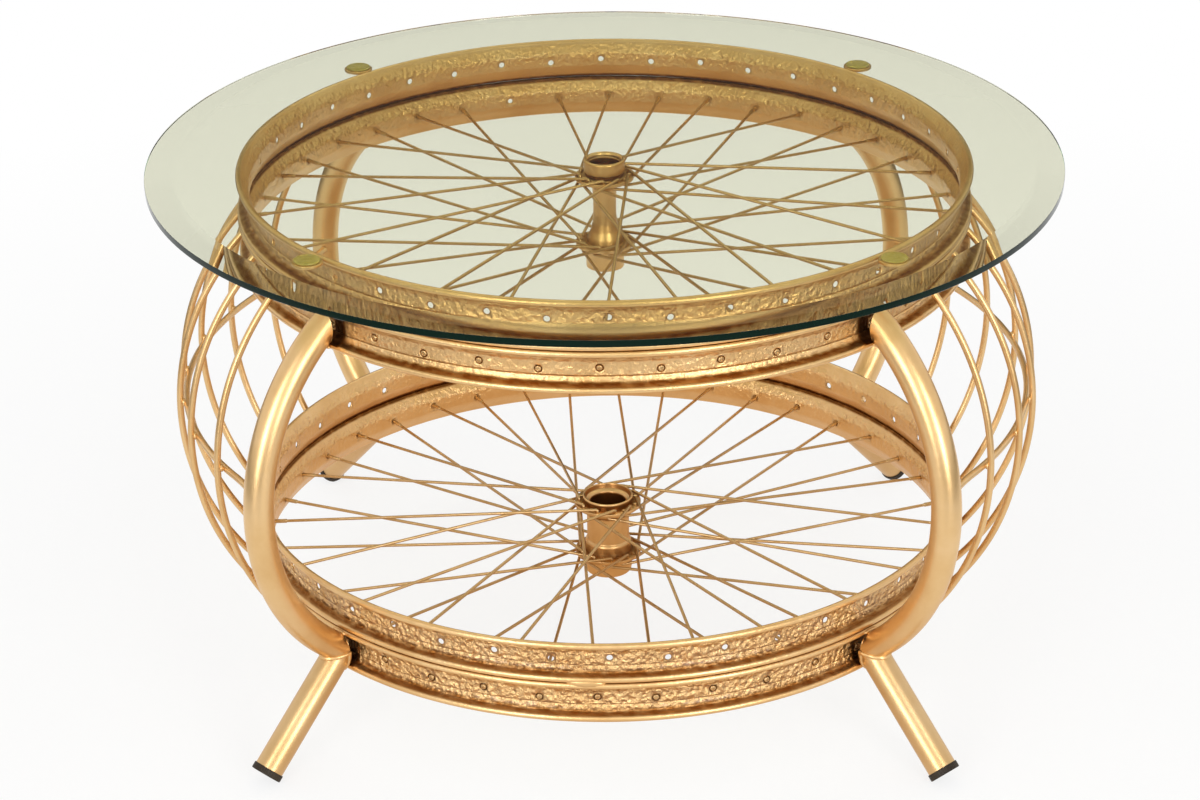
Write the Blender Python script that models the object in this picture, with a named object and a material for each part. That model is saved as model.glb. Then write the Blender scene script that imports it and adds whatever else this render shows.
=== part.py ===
# Coffee table made of bicycle rims and wheels: two tiers of stacked rims, four bent tube legs,
# a cage of bent rods on each side and a loose bevelled glass top.
# Metres, +Z up, origin on the floor under the wheels' common axis, -Y is the front.

import math

import bmesh
import bpy
from mathutils import Matrix, Vector

# Clearance kept between pieces that touch
FIT_GAP = 0.0003

# Rims: four alike, one section spun about the wheel axis, one facet per spoke hole
HOLE_COUNT = 40
HOLE_WIDTH = 0.0048
HOLE_STAGGER = 0.00114        # holes lie this far above and below the rim's middle, in turn
RIM_WIDTH = 0.0372
LIP_RADIUS = 0.322            # widest radius of the two lips
LIP_ROUND = 0.0016            # the widest point lies this far in from the rim's edge
LIP_DEPTH = 0.0056            # thickness of a lip, measured along the axis
LIP_OVERHANG = 0.001          # a lip's inner corner lies this far inside the widest radius
CREST_INSET = 0.004           # the rim's edge lies this far inside the widest radius
BED_DEPTH = 0.0077            # tyre bed below the widest radius
BED_WIDTH = 0.020
WELL_DEPTH = 0.0097           # spoke well below the widest radius
WELL_WIDTH = 0.010
RIM_WALL = 0.0023

# Heights of the two spoked wheels; a plain rim lies on top of each
UPPER_WHEEL_HEIGHT = 0.400
LOWER_WHEEL_HEIGHT = 0.0975

# How far each rim is turned clockwise, seen from above, in degrees
UPPER_PLAIN_TURN = -1.4
UPPER_SPOKED_TURN = 0.0
LOWER_PLAIN_TURN = -1.0
LOWER_SPOKED_TURN = 0.9

# Hub shells, heights measured from the wheel's middle
HUB_SIDES = 16
FLANGE_THICKNESS = 0.003
FLANGE_MARGIN = 0.0040        # flange edge beyond the circle of spoke holes
SHELL_WALL = 0.0017
CUP_DEPTH = 0.009
UPPER_HUB = {
    "top": 0.0535, "upper_flange": 0.0365, "lower_flange": -0.0255, "bottom": -0.0475,
    "spoke_circle": 0.0220, "top_radius": 0.01815, "bottom_radius": 0.0169,
    "waist_radius": 0.01015, "bell_radius": 0.0165, "bell_length": 0.016,
    "top_bore": 0.01525, "bottom_bore": 0.0140,
}
LOWER_HUB = {
    "top": 0.0315, "upper_flange": 0.0235, "lower_flange": -0.0260, "bottom": -0.0455,
    "spoke_circle": 0.0265, "top_radius": 0.0233, "bottom_radius": 0.0220,
    "waist_radius": 0.0195, "bell_radius": 0.0220, "bell_length": 0.008,
    "top_bore": 0.01675, "bottom_bore": 0.0160,
}

# Spokes: laced four-cross, square in section, with the nipple made on
SPOKE_WIDTH = 0.0023
NIPPLE_WIDTH = 0.0039
NIPPLE_LENGTH = 0.012         # stands inside the rim
NIPPLE_HEAD_WIDTH = 0.0062
NIPPLE_HEAD_HEIGHT = 0.0018
SPOKES_CROSSED = 4
CROSSING_STEP = 0.0005        # crossing spokes lie this far above and below each other's path
MISSING_SPOKE = 12            # rim hole of the upper wheel that has no spoke

# Legs and feet: the same round tube
TUBE_RADIUS = 0.0127
TUBE_WALL = 0.0020
TUBE_SIDES = 12
LEG_STEPS = 10
LEG_BULGE = 0.3996            # largest radius of the leg's middle line
LEG_ANGLES = {"front_right": -45, "back_right": 45, "back_left": 135, "front_left": 225}
FOOT_SLOPE = 45
CAP_RADIUS = 0.0137
CAP_THICKNESS = 0.006
CAP_SIDES = 16
PLUG_LENGTH = 0.012
FOOT_FLAT = 0.001             # depth of the flat that each cap stands on

# Side cages
ROD_RADIUS = 0.0030
ROD_SIDES = 6
ROD_STEPS = 8
ROD_INSET = 0.0158            # a rod's middle line bulges this much less than a leg's
ROD_COUNT = 7
ROD_PITCH = 10.5              # degrees
ROD_SEAT = 0.4                # share of the lip's inner slope at which a rod ends
HOOP_HEIGHT = 0.257
HOOP_FLARE = 9.0              # degrees over which a hoop's end runs out to its leg
HOOP_FLARE_STEPS = 4

# Glass and what it rests on
GLASS_RADIUS = 0.400
GLASS_THICKNESS = 0.009
GLASS_BEVEL = 0.0254
GLASS_DROP = 0.003            # the bevel falls this much towards the upright edge
GLASS_ARRIS = 0.0005
GLASS_SIDES = 64
TAB_RADIUS = 0.013
TAB_THICKNESS = 0.0025
PAD_RADIUS = 0.011
PAD_THICKNESS = 0.0015
PAD_SIDES = 12

# Looks: colour, roughness, metallic
GOLD_PAINT = ((0.56, 0.31, 0.10), 0.38, 0.75)
CLEAR_GLASS = ((0.80, 0.86, 0.74), 0.03, 0.0)
CLEAR_PAD = ((0.70, 0.68, 0.38), 0.15, 0.0)
BLACK_PLASTIC = ((0.025, 0.019, 0.012), 0.55, 0.0)

# Values that follow from the ones above
RIM_PITCH = RIM_WIDTH + FIT_GAP
HOLE_PITCH = 2 * math.pi / HOLE_COUNT
FACET = math.cos(HOLE_PITCH / 2)
WELL_RADIUS = LIP_RADIUS - WELL_DEPTH
BED_RADIUS = LIP_RADIUS - BED_DEPTH
ROD_BULGE = LEG_BULGE - ROD_INSET
RIM_TOP = UPPER_WHEEL_HEIGHT + RIM_PITCH + RIM_WIDTH / 2
PAD_TOP = RIM_TOP + FIT_GAP + PAD_THICKNESS


# Scene helpers

def clear_scene():
    for old in list(bpy.data.objects):
        bpy.data.objects.remove(old, do_unlink=True)


def make_material(name, look):
    colour, roughness, metallic = look
    material = bpy.data.materials.new(name)
    material.use_nodes = True
    shader = material.node_tree.nodes["Principled BSDF"]
    shader.inputs["Base Color"].default_value = (*colour, 1.0)
    shader.inputs["Roughness"].default_value = roughness
    shader.inputs["Metallic"].default_value = metallic
    material.diffuse_color = (*colour, 1.0)
    return material


def mesh_from(name, bm):
    bmesh.ops.remove_doubles(bm, verts=bm.verts, dist=0.00001)
    bmesh.ops.recalc_face_normals(bm, faces=bm.faces)
    mesh = bpy.data.meshes.new(name)
    bm.to_mesh(mesh)
    bm.free()
    return mesh


def place(name, data, look, height=0.0, turn=0.0):
    piece = bpy.data.objects.new(name, data)
    bpy.context.scene.collection.objects.link(piece)
    piece.location.z = height
    piece.rotation_euler.z = math.radians(turn)
    piece.parent = table
    if not data.materials:
        data.materials.append(None)
    piece.material_slots[0].link = "OBJECT"
    piece.material_slots[0].material = make_material(name, look)
    if piece.type == "MESH":
        data.shade_smooth()
        data.set_sharp_from_angle(angle=math.radians(35))
    return piece


def combined(name, mesh, other, operation):
    body = bpy.data.objects.new(name, mesh)
    tool = bpy.data.objects.new(name + "_tool", other)
    for helper in (body, tool):
        bpy.context.scene.collection.objects.link(helper)
    boolean = body.modifiers.new("combine", "BOOLEAN")
    boolean.operation = operation
    boolean.solver = "EXACT"
    boolean.use_self = operation == "UNION"
    boolean.object = tool
    depsgraph = bpy.context.evaluated_depsgraph_get()
    result = bpy.data.meshes.new_from_object(body.evaluated_get(depsgraph))
    result.name = name
    for helper in (body, tool):
        bpy.data.objects.remove(helper, do_unlink=True)
    return result


# Shape helpers

def lathe(name, profile, sides, start=0.0):
    bm = bmesh.new()
    points = [bm.verts.new((r * math.cos(start), r * math.sin(start), z)) for r, z in profile]
    edges = [bm.edges.new(pair) for pair in zip(points, points[1:])]
    if profile[0][0] > 0:
        edges.append(bm.edges.new((points[-1], points[0])))
    bmesh.ops.spin(bm, geom=points + edges, cent=(0, 0, 0), axis=(0, 0, 1), angle=2 * math.pi,
                   steps=sides, use_merge=True)
    return mesh_from(name, bm)


def disc_profile(radius, low, high):
    return [(0, low), (radius, low), (radius, high), (0, high)]


def skin(bm, rings, closed_ends):
    loops = [[bm.verts.new(point) for point in ring] for ring in rings]
    count = len(loops[0])
    for near, far in zip(loops, loops[1:]):
        for i in range(count):
            j = (i + 1) % count
            bm.faces.new((near[i], near[j], far[j], far[i]))
    if closed_ends:
        bm.faces.new(loops[0])
        bm.faces.new(loops[-1])
    return loops


def tube_body(bm, outer_rings, inner_rings):
    outer = skin(bm, outer_rings, False)
    inner = skin(bm, inner_rings, False)
    count = len(outer[0])
    for end in (0, -1):
        for i in range(count):
            j = (i + 1) % count
            bm.faces.new((outer[end][i], outer[end][j], inner[end][j], inner[end][i]))


def round_ring(centre, normal, radius, sides, turn=0.0):
    across = Vector((0, 1, 0))
    steps = [turn + 2 * math.pi * i / sides for i in range(sides)]
    return [centre + radius * (math.cos(a) * normal + math.sin(a) * across) for a in steps]


def square_ring(centre, side, up, width):
    half = width / 2
    return [centre + half * (a * side + b * up) for a, b in ((1, 1), (-1, 1), (-1, -1), (1, -1))]


def polar(radius, angle, height):
    return Vector((radius * math.cos(angle), radius * math.sin(angle), height))


def bulged_arc(end_radius, low, high, bulge):
    # Circle through both ends, at one radius, and the bulge half-way up
    half = (high - low) / 2
    depth = bulge - end_radius
    radius = (half * half + depth * depth) / (2 * depth)
    swing = math.asin(half / radius)
    return Vector((bulge - radius, 0, (low + high) / 2)), radius, swing


def facet_reach(radius, turn, centre, half_width):
    # Distance from the axis that a faceted rim reaches over a width across a direction in degrees
    reach = 0.0
    for step in range(-20, 21):
        shift = math.asin(half_width * step / 20 / radius)
        angle = math.radians(centre + turn) + shift
        off = (angle + HOLE_PITCH / 2) % HOLE_PITCH - HOLE_PITCH / 2
        reach = max(reach, radius * FACET / math.cos(off) * math.cos(shift))
    return reach


# Rims

def rim_profile():
    half = RIM_WIDTH / 2
    upper = [
        (LIP_RADIUS - CREST_INSET, half),
        (LIP_RADIUS, half - LIP_ROUND),
        (LIP_RADIUS - LIP_OVERHANG, half - LIP_DEPTH),
        (BED_RADIUS, BED_WIDTH / 2),
        (WELL_RADIUS, WELL_WIDTH / 2),
    ]
    lower = [(r, -z) for r, z in reversed(upper)]
    inner = WELL_RADIUS - RIM_WALL
    return upper + lower + [(inner, -WELL_WIDTH / 2), (inner, WELL_WIDTH / 2)]


def hole_height(hole):
    return HOLE_STAGGER if hole % 2 == 0 else -HOLE_STAGGER


def rim_mesh():
    ring = lathe("rim_ring", rim_profile(), HOLE_COUNT, -HOLE_PITCH / 2)
    bm = bmesh.new()
    reach = 2 * RIM_WALL
    for hole in range(HOLE_COUNT):
        angle = hole * HOLE_PITCH
        side = Vector((-math.sin(angle), math.cos(angle), 0))
        middle = WELL_RADIUS * FACET
        ends = [polar(r, angle, hole_height(hole)) for r in (middle - reach, middle + reach)]
        skin(bm, [square_ring(end, side, Vector((0, 0, 1)), HOLE_WIDTH) for end in ends], True)
    return combined("rim", ring, mesh_from("rim_holes", bm), "DIFFERENCE")


# Hubs

def hub_profile(hub):
    half = FLANGE_THICKNESS / 2
    edge = hub["spoke_circle"] + FLANGE_MARGIN
    high = hub["upper_flange"]
    low = hub["lower_flange"]
    top_seat = hub["top_radius"] - SHELL_WALL
    bottom_seat = hub["bottom_radius"] - SHELL_WALL
    bore = hub["waist_radius"] - SHELL_WALL
    return [
        (top_seat, hub["top"]),
        (hub["top_radius"], hub["top"]),
        (hub["top_radius"], high + half),
        (edge, high + half),
        (edge, high - half),
        (hub["bell_radius"], high - half),
        (hub["waist_radius"], high - half - hub["bell_length"]),
        (hub["waist_radius"], low + half + hub["bell_length"]),
        (hub["bell_radius"], low + half),
        (edge, low + half),
        (edge, low - half),
        (hub["bottom_radius"], low - half),
        (hub["bottom_radius"], hub["bottom"]),
        (bottom_seat, hub["bottom"]),
        (bottom_seat, hub["bottom"] + CUP_DEPTH),
        (bore, hub["bottom"] + CUP_DEPTH),
        (bore, hub["top"] - CUP_DEPTH),
        (top_seat, hub["top"] - CUP_DEPTH),
    ]


def cup_profile(shell_radius, bore, mouth, inward):
    # Bearing cup pressed into a shell's end, with a sloped race at its inner edge
    seat = shell_radius - SHELL_WALL - FIT_GAP
    race = bore - (seat - bore)
    floor = mouth + inward * (CUP_DEPTH - FIT_GAP)
    shoulder = mouth + inward * CUP_DEPTH / 2
    return [(seat, mouth), (bore, mouth), (bore, shoulder), (race, floor), (seat, floor)]


# Spokes

def lacing_sign(hole, mirrored):
    forward = hole % 4 in (0, 3)
    return -1 if forward == mirrored else 1


def spoke_rings(hub, hole, mirrored):
    up = Vector((0, 0, 1))
    sign = lacing_sign(hole, mirrored)
    rim_angle = hole * HOLE_PITCH
    hub_angle = rim_angle + sign * SPOKES_CROSSED * 2 * HOLE_PITCH
    half = FLANGE_THICKNESS / 2 + FIT_GAP + SPOKE_WIDTH / 2 + CROSSING_STEP
    if hole % 2 == 0:
        hub_height = hub["upper_flange"] - half
    else:
        hub_height = hub["lower_flange"] + half
    hub_end = polar(hub["spoke_circle"], hub_angle, hub_height + sign * CROSSING_STEP)
    well = WELL_RADIUS * FACET
    height = hole_height(hole)
    nipple_start = polar(well - RIM_WALL - NIPPLE_LENGTH, rim_angle, height)
    head_start = polar(well + FIT_GAP, rim_angle, height)
    head_end = polar(well + FIT_GAP + NIPPLE_HEAD_HEIGHT, rim_angle, height)
    side = Vector((-math.sin(rim_angle), math.cos(rim_angle), 0))
    along = (nipple_start - hub_end).normalized()
    spoke_side = up.cross(along).normalized()
    spoke_up = along.cross(spoke_side)
    return [
        square_ring(hub_end, spoke_side, spoke_up, SPOKE_WIDTH),
        square_ring(nipple_start, side, up, SPOKE_WIDTH),
        square_ring(head_start, side, up, NIPPLE_WIDTH),
        square_ring(head_start, side, up, NIPPLE_HEAD_WIDTH),
        square_ring(head_end, side, up, NIPPLE_HEAD_WIDTH),
    ]


def spoke_set(name, hub, first_hole, mirrored, missing=None):
    # Spokes of one flange, united where they cross
    holes = [hole for hole in range(first_hole, HOLE_COUNT, 2) if hole != missing]
    one = bmesh.new()
    skin(one, spoke_rings(hub, holes[0], mirrored), True)
    rest = bmesh.new()
    for hole in holes[1:]:
        skin(rest, spoke_rings(hub, hole, mirrored), True)
    return combined(name, mesh_from(name, rest), mesh_from(name, one), "UNION")


# Legs and feet

def leg_rings(radius, sides, upper_cut, lower_cut):
    # Arc from rim to rim, each end slid along the tube onto an upright plane
    end_radius = min(upper_cut, lower_cut)
    centre, arc, swing = bulged_arc(end_radius, LOWER_WHEEL_HEIGHT, UPPER_WHEEL_HEIGHT, LEG_BULGE)
    rings = []
    for step in range(LEG_STEPS + 1):
        angle = swing * (2 * step / LEG_STEPS - 1)
        normal = Vector((math.cos(angle), 0, math.sin(angle)))
        ring = round_ring(centre + arc * normal, normal, radius, sides)
        if step in (0, LEG_STEPS):
            cut = lower_cut if step == 0 else upper_cut
            along = Vector((-normal.z, 0, normal.x))
            ring = [point + along * (cut - point.x) / along.x for point in ring]
        rings.append(ring)
    return rings


def leg_end_planes():
    upper = []
    lower = []
    for angle in LEG_ANGLES.values():
        upper.append(facet_reach(LIP_RADIUS, UPPER_SPOKED_TURN, angle, TUBE_RADIUS))
        upper.append(facet_reach(LIP_RADIUS, UPPER_PLAIN_TURN, angle, TUBE_RADIUS))
        lower.append(facet_reach(LIP_RADIUS, LOWER_SPOKED_TURN, angle, TUBE_RADIUS))
    return max(upper) + FIT_GAP, max(lower) + FIT_GAP


def leg_mesh():
    upper_cut, lower_cut = leg_end_planes()
    bm = bmesh.new()
    outer = leg_rings(TUBE_RADIUS, TUBE_SIDES, upper_cut, lower_cut)
    inner = leg_rings(TUBE_RADIUS - TUBE_WALL, TUBE_SIDES, upper_cut, lower_cut)
    tube_body(bm, outer, inner)
    return mesh_from("leg", bm)


def foot_axis():
    # Straight down and out from the middle of the leg's lower end
    slope = math.radians(FOOT_SLOPE)
    along = Vector((math.cos(slope), 0, -math.sin(slope)))
    normal = Vector((math.sin(slope), 0, math.cos(slope)))
    start = Vector((leg_end_planes()[1], 0, LOWER_WHEEL_HEIGHT))
    sole = CAP_RADIUS * math.cos(math.pi / CAP_SIDES) * normal.z - FOOT_FLAT
    end = start + along * (sole - start.z) / along.z
    return start, end, along, normal


def foot_mesh():
    start, end, along, normal = foot_axis()
    stop = end - along * (CAP_THICKNESS + FIT_GAP)
    bm = bmesh.new()
    radii = (TUBE_RADIUS, TUBE_RADIUS - TUBE_WALL)
    outer, inner = [[round_ring(p, normal, r, TUBE_SIDES) for p in (start, stop)] for r in radii]
    tube_body(bm, outer, inner)
    foot = mesh_from("foot_blank", bm)
    upper_cut, lower_cut = leg_end_planes()
    bm = bmesh.new()
    skin(bm, leg_rings(TUBE_RADIUS + FIT_GAP, 2 * TUBE_SIDES, upper_cut - FIT_GAP, lower_cut - FIT_GAP), True)
    foot = combined("foot_coped", foot, mesh_from("leg_tool", bm), "DIFFERENCE")
    box = bmesh.new()
    reach = 4 * TUBE_RADIUS
    bmesh.ops.create_cube(box, size=2 * reach, matrix=Matrix.Translation((lower_cut - reach, 0, start.z)))
    return combined("foot", foot, mesh_from("rim_tool", box), "DIFFERENCE")


def cap_mesh():
    start, end, along, normal = foot_axis()
    plug = TUBE_RADIUS - TUBE_WALL - 2 * FIT_GAP
    stations = [
        (CAP_THICKNESS + PLUG_LENGTH, plug),
        (CAP_THICKNESS, plug),
        (CAP_THICKNESS, CAP_RADIUS),
        (0.0, CAP_RADIUS),
    ]
    turn = math.pi / CAP_SIDES
    bm = bmesh.new()
    skin(bm, [round_ring(end - along * d, normal, r, CAP_SIDES, turn) for d, r in stations], True)
    geometry = bm.verts[:] + bm.edges[:] + bm.faces[:]
    cut = bmesh.ops.bisect_plane(bm, geom=geometry, plane_co=(0, 0, 0), plane_no=(0, 0, -1), clear_outer=True)
    edges = [item for item in cut["geom_cut"] if isinstance(item, bmesh.types.BMEdge)]
    bmesh.ops.edgeloop_fill(bm, edges=edges)
    return mesh_from("foot_cap", bm)


# Side cages

def wire_curve(name, points):
    curve = bpy.data.curves.new(name, "CURVE")
    curve.dimensions = "3D"
    curve.bevel_depth = ROD_RADIUS
    curve.bevel_resolution = ROD_SIDES // 2 - 2
    curve.use_fill_caps = True
    spline = curve.splines.new("POLY")
    spline.points.add(len(points) - 1)
    for target, point in zip(spline.points, points):
        target.co = (*point, 1.0)
    return curve


def rod_arc():
    # Ends seat on the slope inside the outer lip of each spoked rim
    corner = Vector((LIP_RADIUS - LIP_OVERHANG, 0, RIM_WIDTH / 2 - LIP_DEPTH))
    bed = Vector((BED_RADIUS, 0, BED_WIDTH / 2))
    slope = (corner - bed).normalized()
    outward = Vector((slope.z, 0, -slope.x))
    seat = bed.lerp(corner, ROD_SEAT) + outward * (FIT_GAP + ROD_RADIUS / 3)
    return bulged_arc(seat.x, LOWER_WHEEL_HEIGHT - seat.z, UPPER_WHEEL_HEIGHT + seat.z, ROD_BULGE)


def rod_points():
    centre, arc, swing = rod_arc()
    angles = [swing * (2 * step / ROD_STEPS - 1) for step in range(ROD_STEPS + 1)]
    return [centre + arc * Vector((math.cos(a), 0, math.sin(a))) for a in angles]


def rod_angles():
    return [ROD_PITCH * (i - (ROD_COUNT - 1) / 2) for i in range(ROD_COUNT)]


def rod_radius_at(height):
    # The rods run straight from point to point
    points = rod_points()
    for low, high in zip(points, points[1:]):
        if low.z <= height <= high.z:
            return low.lerp(high, (height - low.z) / (high.z - low.z)).x
    return points[0].x


def hoop_points():
    # Runs inside the rods, then flares out to the side of the leg at each end
    flat_side = ROD_RADIUS * math.cos(math.pi / ROD_SIDES)
    inside = rod_radius_at(HOOP_HEIGHT) - flat_side - FIT_GAP - ROD_RADIUS
    leg_span = (LEG_ANGLES["back_right"] - LEG_ANGLES["front_right"]) / 2
    end_radius = LEG_BULGE - TUBE_RADIUS + ROD_RADIUS
    overlap = LEG_BULGE - end_radius - ROD_RADIUS
    side = math.sqrt((TUBE_RADIUS + FIT_GAP) ** 2 - overlap ** 2)
    end_angle = leg_span - math.degrees(math.asin(side / LEG_BULGE))
    flare = []
    for step in range(HOOP_FLARE_STEPS):
        share = step / HOOP_FLARE_STEPS
        ease = (1 - share) ** 2
        flare.append((end_angle - HOOP_FLARE * share, inside + (end_radius - inside) * ease))
    right = flare + [(angle, inside) for angle in reversed(rod_angles())]
    right += [(-angle, radius) for angle, radius in reversed(flare)]
    return [polar(radius, math.radians(angle), HOOP_HEIGHT) for angle, radius in right]


# Glass

def glass_profile():
    return [
        (0, 0),
        (GLASS_RADIUS - GLASS_ARRIS, 0),
        (GLASS_RADIUS, GLASS_ARRIS),
        (GLASS_RADIUS, GLASS_THICKNESS - GLASS_DROP),
        (GLASS_RADIUS - GLASS_BEVEL, GLASS_THICKNESS),
        (0, GLASS_THICKNESS),
    ]


def tab_place(angle):
    reach = facet_reach(LIP_RADIUS, UPPER_PLAIN_TURN, angle, TAB_RADIUS)
    return polar(reach + FIT_GAP + TAB_RADIUS, math.radians(angle), 0)


# Assembly

clear_scene()
table = bpy.data.objects.new("table", None)
bpy.context.scene.collection.objects.link(table)

rim = rim_mesh()
place("upper_plain_rim", rim, GOLD_PAINT, UPPER_WHEEL_HEIGHT + RIM_PITCH, -UPPER_PLAIN_TURN)
place("upper_spoked_rim", rim, GOLD_PAINT, UPPER_WHEEL_HEIGHT, -UPPER_SPOKED_TURN)
place("lower_plain_rim", rim, GOLD_PAINT, LOWER_WHEEL_HEIGHT + RIM_PITCH, -LOWER_PLAIN_TURN)
place("lower_spoked_rim", rim, GOLD_PAINT, LOWER_WHEEL_HEIGHT, -LOWER_SPOKED_TURN)

wheels = (
    ("upper", UPPER_HUB, UPPER_WHEEL_HEIGHT, UPPER_SPOKED_TURN, True, MISSING_SPOKE),
    ("lower", LOWER_HUB, LOWER_WHEEL_HEIGHT, LOWER_SPOKED_TURN, False, None),
)
for wheel, hub, height, turn, mirrored, missing in wheels:
    shell = lathe(wheel + "_hub", hub_profile(hub), HUB_SIDES)
    place(wheel + "_hub_shell", shell, GOLD_PAINT, height)
    top_cup = cup_profile(hub["top_radius"], hub["top_bore"], hub["top"], -1)
    place(wheel + "_hub_top_cup", lathe("cup", top_cup, HUB_SIDES), GOLD_PAINT, height)
    bottom_cup = cup_profile(hub["bottom_radius"], hub["bottom_bore"], hub["bottom"], 1)
    place(wheel + "_hub_bottom_cup", lathe("cup", bottom_cup, HUB_SIDES), GOLD_PAINT, height)
    for flange, first_hole in (("upper", 0), ("lower", 1)):
        name = wheel + "_wheel_" + flange + "_spokes"
        spokes = spoke_set(name, hub, first_hole, mirrored, missing)
        place(name, spokes, GOLD_PAINT, height, -turn)

leg = leg_mesh()
foot = foot_mesh()
cap = cap_mesh()
tab = lathe("tab", disc_profile(TAB_RADIUS, -TAB_THICKNESS, 0), PAD_SIDES)
pad = lathe("pad", disc_profile(PAD_RADIUS, 0, PAD_THICKNESS), PAD_SIDES)
for corner, angle in LEG_ANGLES.items():
    place("leg_" + corner, leg, GOLD_PAINT, 0, angle)
    place("foot_tube_" + corner, foot, GOLD_PAINT, 0, angle)
    place("foot_cap_" + corner, cap, BLACK_PLASTIC, 0, angle)
    spot = tab_place(angle)
    tab_piece = place("glass_tab_" + corner, tab, GOLD_PAINT, RIM_TOP, angle)
    tab_piece.location.xy = spot.xy
    pad_piece = place("glass_pad_" + corner, pad, CLEAR_PAD, RIM_TOP + FIT_GAP, angle)
    pad_piece.location.xy = spot.xy

rod = wire_curve("rod", rod_points())
hoop = wire_curve("hoop", hoop_points())
for side, middle in (("right", 0), ("left", 180)):
    for number, angle in enumerate(rod_angles(), 1):
        place("cage_rod_" + side + "_" + str(number), rod, GOLD_PAINT, 0, middle + angle)
    place("cage_hoop_" + side, hoop, GOLD_PAINT, 0, middle)

glass = lathe("glass", glass_profile(), GLASS_SIDES)
place("glass_top", glass, CLEAR_GLASS, PAD_TOP + FIT_GAP)
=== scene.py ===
import math

import bmesh
import bpy
import numpy as np
from mathutils import Matrix, Vector


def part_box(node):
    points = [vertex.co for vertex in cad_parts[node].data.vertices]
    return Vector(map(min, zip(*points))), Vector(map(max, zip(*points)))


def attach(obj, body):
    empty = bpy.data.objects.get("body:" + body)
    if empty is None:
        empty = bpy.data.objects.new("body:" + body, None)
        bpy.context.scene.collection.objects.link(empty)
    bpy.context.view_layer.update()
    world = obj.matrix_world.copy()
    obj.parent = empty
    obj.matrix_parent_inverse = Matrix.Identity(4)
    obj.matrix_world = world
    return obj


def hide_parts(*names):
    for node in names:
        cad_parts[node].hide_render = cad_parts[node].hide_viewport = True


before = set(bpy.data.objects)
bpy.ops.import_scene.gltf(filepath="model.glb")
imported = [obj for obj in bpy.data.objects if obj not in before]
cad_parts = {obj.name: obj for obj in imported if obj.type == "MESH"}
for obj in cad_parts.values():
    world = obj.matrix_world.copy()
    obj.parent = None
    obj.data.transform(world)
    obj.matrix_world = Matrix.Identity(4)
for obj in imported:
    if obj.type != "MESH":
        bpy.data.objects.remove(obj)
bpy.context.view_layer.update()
print("frame loaded with", len(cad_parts), "nodes")


# Mesh helpers

# Quads of a grid of point numbers, or of several such grids
def quadsOf(index):
    corners = [index[..., :-1, :-1], index[..., :-1, 1:], index[..., 1:, 1:], index[..., 1:, :-1]]
    return np.stack(corners, axis=-1).reshape(-1, 4)


# Quads of a grid of rows by columns; a closed way joins its last line to its first
def gridQuads(rows, cols, closeRows, closeCols):
    index = np.arange(rows * cols).reshape(rows, cols)
    if closeRows:
        index = np.vstack([index, index[:1]])
    if closeCols:
        index = np.hstack([index, index[:, :1]])
    return quadsOf(index)


# Faces of a row of rings, with a flat end on the first and the last ring
def tubeFaces(rows, sides):
    ends = [list(range(sides)), list(range((rows - 1) * sides, rows * sides))]
    return gridQuads(rows, sides, False, True).tolist() + ends


# The same faces once for each of several like shells, one after the other
def repeatFaces(faces, shells, size):
    return [[corner + shell * size for corner in face] for shell in range(shells) for face in faces]


# Angles of equal steps once round
def fullTurn(steps):
    return 2 * math.pi * np.arange(steps) / steps


# Points at a radius, an angle and a height
def polar(radius, angle, height):
    return np.stack(np.broadcast_arrays(radius * np.cos(angle), radius * np.sin(angle), height), axis=-1)


def turnZ(points, degrees):
    cos = math.cos(math.radians(degrees))
    sin = math.sin(math.radians(degrees))
    return points @ np.array([[cos, -sin, 0], [sin, cos, 0], [0, 0, 1]]).T


def unit(vectors):
    return vectors / np.linalg.norm(vectors, axis=-1, keepdims=True)


def middleHeight(node):
    low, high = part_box(node)
    return (low.z + high.z) / 2


def putObject(name, data):
    thing = bpy.data.objects.new(name, data)
    bpy.context.scene.collection.objects.link(thing)
    return thing


# A finished piece, in place of one node or beside them all; marks are values on its points
def makePiece(name, points, faces, look, node=None, slotName="gold_paint", body="frame", sharp=40.0,
              marks=None):
    mesh = bpy.data.meshes.new(name)
    mesh.from_pydata(points.reshape(-1, 3).tolist(), [], faces)
    for key, values in (marks or {}).items():
        layer = mesh.attributes.new(key, "FLOAT", "POINT")
        layer.data.foreach_set("value", np.ascontiguousarray(values, dtype=np.float32).ravel())
    work = bmesh.new()
    work.from_mesh(mesh)
    bmesh.ops.recalc_face_normals(work, faces=work.faces)
    work.to_mesh(mesh)
    work.free()
    mesh.shade_smooth()
    mesh.set_sharp_from_angle(angle=math.radians(sharp))
    mesh.materials.append(look)
    piece = putObject(name, mesh)
    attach(piece, body)
    if node:
        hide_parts(node)


# A tube or a disc of rings, with a flat face on its first and its last ring
def makeTube(name, rings, look, node, **more):
    makePiece(name, rings, tubeFaces(*rings.shape[:2]), look, node, **more)


# Smooth noise: random values on a lattice that closes both ways, blended by eased steps between neighbours
def latticeNoise(u, v, cells, rows, seed):
    table = np.random.default_rng(seed).uniform(-1.0, 1.0, (cells, rows))
    x = (u % 1.0) * cells
    y = (v % 1.0) * rows
    i = np.floor(x).astype(int)
    j = np.floor(y).astype(int)
    fx = x - i
    fy = y - j
    fx = fx * fx * (3.0 - 2.0 * fx)
    fy = fy * fy * (3.0 - 2.0 * fy)
    near, far = (table[k % cells, j % rows] * (1 - fy) + table[k % cells, (j + 1) % rows] * fy
                 for k in (i, i + 1))
    return near * (1 - fx) + far * fx


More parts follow.
